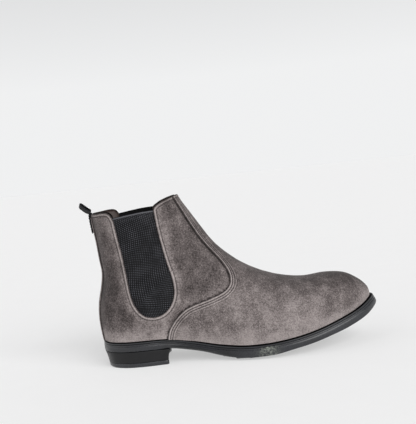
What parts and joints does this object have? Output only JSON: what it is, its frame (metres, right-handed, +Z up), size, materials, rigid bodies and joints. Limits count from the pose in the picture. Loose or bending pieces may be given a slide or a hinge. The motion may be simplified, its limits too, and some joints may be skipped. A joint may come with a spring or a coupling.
{
  "type": "chelsea boot",
  "caption": "Ankle boot in grey-brown suede with black elastic side gores, a pull tab at the back, and a black lugged sole with a low stacked heel.",
  "frame": {"origin": "centre of the boot's bounding box, on the ground it stands on", "axes": "+X from heel to toe, +Z up, and the outer (lateral) side of this right boot towards -Y"},
  "size_m": [0.3172, 0.1018, 0.1787],
  "materials": {
    "suede": "grey-brown suede with a brushed nap",
    "elastic": "black ribbed elastic webbing",
    "webbing": "black woven tape",
    "lining": "reddish brown lining leather",
    "board": "tan fibre insole board",
    "stiffener": "off-white thermoplastic sheet",
    "footbed": "dark brown sock leather",
    "foam": "pale cushioning foam",
    "cork": "granular cork filler",
    "welt": "black satin welt strip",
    "outsole_rubber": "black moulded rubber with a satin edge",
    "heel_stack": "black inked and waxed heel stack",
    "steel": "bare steel"
  },
  "bodies": {
    "boot": {"vamp": "suede", "quarter_lateral": "suede", "quarter_medial": "suede", "back_strip": "suede", "gore_lateral": "elastic", "gore_medial": "elastic", "pull_tab_leg": "webbing", "vamp_lining": "lining", "quarter_lining_lateral": "lining", "quarter_lining_medial": "lining", "toe_puff": "stiffener", "heel_counter": "stiffener", "footbed": "footbed", "heel_pad": "foam", "insole_board": "board", "bottom_filler": "cork", "shank": "steel", "welt": "welt", "outsole": "outsole_rubber", "heel_block": "heel_stack", "top_lift": "outsole_rubber", "heel_nail_1": "steel", "heel_nail_2": "steel", "heel_nail_3": "steel", "heel_nail_4": "steel", "heel_screw": "steel"},
    "pull_tab": {"pull_tab_loop": "webbing"}
  },
  "joints": [
    {"name": "pull_tab_fold", "type": "hinge", "parent": "boot", "child": "pull_tab", "pos_m": [-0.14762, 0.00145, 0.1686], "axis": [0, 1, 0], "range_deg": [-55, 90], "stiffness_Nm_per_rad": 0.004}
  ]
}
